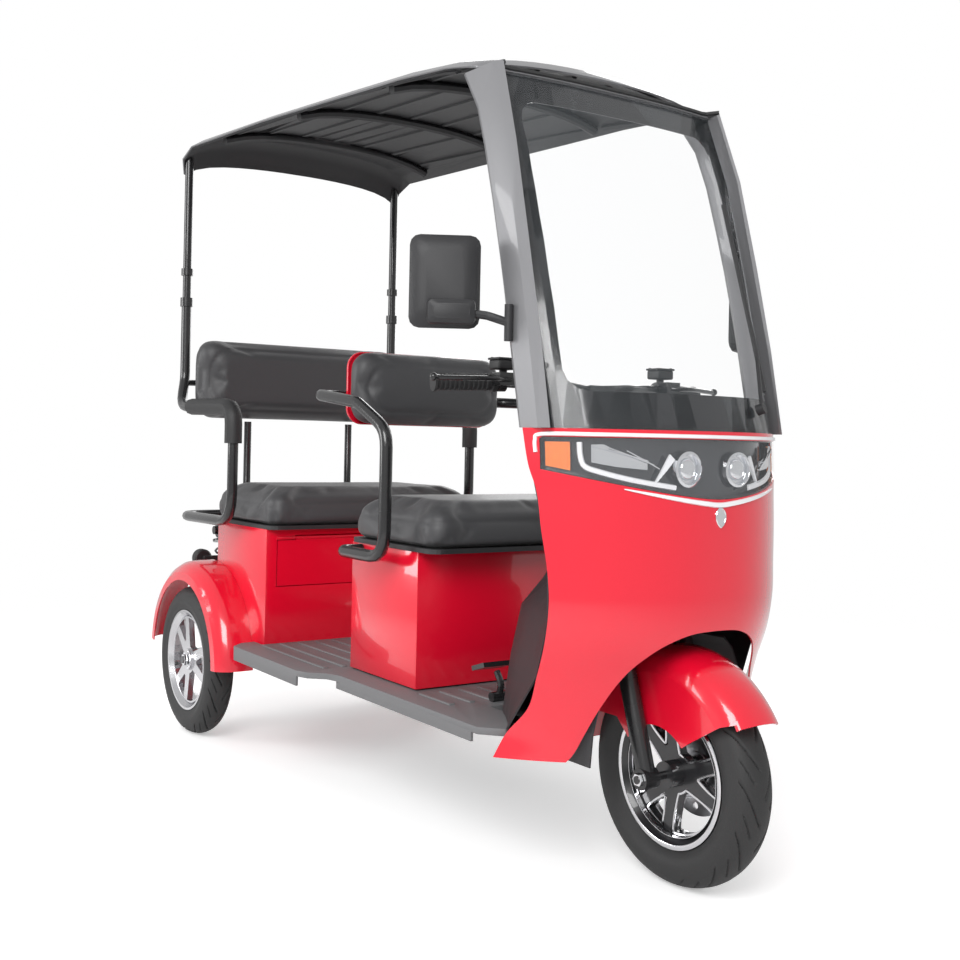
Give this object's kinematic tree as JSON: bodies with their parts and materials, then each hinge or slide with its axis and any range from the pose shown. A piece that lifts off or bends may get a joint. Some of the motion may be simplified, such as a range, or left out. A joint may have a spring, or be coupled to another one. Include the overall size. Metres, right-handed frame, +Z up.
{
  "type": "electric passenger tricycle",
  "caption": "Electric passenger tricycle with a steered front wheel, windscreen, roof, front and rear bench seats and lifting seat lids.",
  "frame": {"origin": "on the ground under the middle of the vehicle's box", "axes": "+X forward, +Y to the vehicle's left, +Z up"},
  "size_m": [2.0214, 0.924, 1.73],
  "materials": {
    "frame_black": "satin black coating",
    "floor_plastic": "grained grey moulding",
    "red_gloss": "bright gloss red",
    "black_plastic": "fine grained black moulding",
    "lamp_body": "gloss black with bright reflectors",
    "lamp_lens": "clear moulded lens",
    "screen_clear": "clear sheet",
    "screen_black": "dark printed border",
    "silver_paint": "silver grey metallic paint",
    "battery_case": "plain case",
    "seat_cover": "charcoal leatherette",
    "pad_rubber": "soft black rubber",
    "axle_metal": "cast housing, grey",
    "lamp_amber": "amber lens",
    "rim_black": "black with machined edges",
    "tyre_rubber": "road tread",
    "disc_steel": "ground steel",
    "rim_silver": "bright cast alloy"
  },
  "bodies": {
    "chassis": {"frame": "frame_black", "footboard": "floor_plastic", "nose_shell": "red_gloss", "wheelhouse": "black_plastic", "leg_shield": "black_plastic", "headlamp_body": "lamp_body", "headlamp_lens": "lamp_lens", "windscreen": "screen_clear", "screen_border": "screen_black", "front_pillars": "silver_paint", "wiper": "black_plastic", "roof_shell": "silver_paint", "roof_liner": "black_plastic", "roof_posts": "frame_black", "mirrors": "black_plastic", "brake_pedal": "frame_black", "front_seat_box": "red_gloss", "battery_pack": "battery_case", "front_seat_frame": "frame_black", "front_backrest": "seat_cover", "rear_seat_box": "red_gloss", "rear_seat_frame": "frame_black", "rear_backrest": "seat_cover", "armrest_pads": "pad_rubber", "rear_fenders": "red_gloss", "rear_axle": "axle_metal", "rear_shocks": "frame_black", "tail_lamps": "lamp_amber"},
    "steering": {"fork": "frame_black", "front_fender": "red_gloss", "handlebar": "frame_black", "hand_grips": "pad_rubber", "brake_levers": "frame_black", "brake_caliper": "axle_metal"},
    "front_wheel": {"front_rim": "rim_black", "front_tyre": "tyre_rubber", "brake_disc": "disc_steel"},
    "rear_wheel_right": {"rear_rim_right": "rim_silver", "rear_tyre_right": "tyre_rubber"},
    "rear_wheel_left": {"rear_rim_left": "rim_silver", "rear_tyre_left": "tyre_rubber"},
    "front_seat": {"front_seat_pan": "black_plastic", "front_cushion": "seat_cover"},
    "rear_seat": {"rear_seat_pan": "black_plastic", "rear_cushion": "seat_cover"},
    "door": {"storage_door": "red_gloss"}
  },
  "joints": [
    {"name": "steering_turn", "type": "hinge", "parent": "chassis", "child": "steering", "pos_m": [0.62521, 0, 0.66], "axis": [-0.309, 0, 0.9511], "range_deg": [-23, 23]},
    {"name": "front_wheel_spin", "type": "hinge", "parent": "steering", "child": "front_wheel", "pos_m": [0.80174, 0, 0.209], "axis": [0, 1, 0], "continuous": true},
    {"name": "rear_wheel_right_spin", "type": "hinge", "parent": "chassis", "child": "rear_wheel_right", "pos_m": [-0.73626, -0.368, 0.204], "axis": [0, 1, 0], "continuous": true},
    {"name": "rear_wheel_left_spin", "type": "hinge", "parent": "chassis", "child": "rear_wheel_left", "pos_m": [-0.73626, 0.368, 0.204], "axis": [0, 1, 0], "continuous": true},
    {"name": "front_seat_lift", "type": "hinge", "parent": "chassis", "child": "front_seat", "pos_m": [-0.01826, 0, 0.5818], "axis": [0, -1, 0], "range_deg": [0, 75]},
    {"name": "rear_seat_lift", "type": "hinge", "parent": "chassis", "child": "rear_seat", "pos_m": [-0.72826, 0, 0.5818], "axis": [0, -1, 0], "range_deg": [0, 60]},
    {"name": "storage_door_swing", "type": "hinge", "parent": "chassis", "child": "door", "pos_m": [-0.39526, 0, 0.567], "axis": [0, -1, 0], "range_deg": [0, 85]}
  ]
}
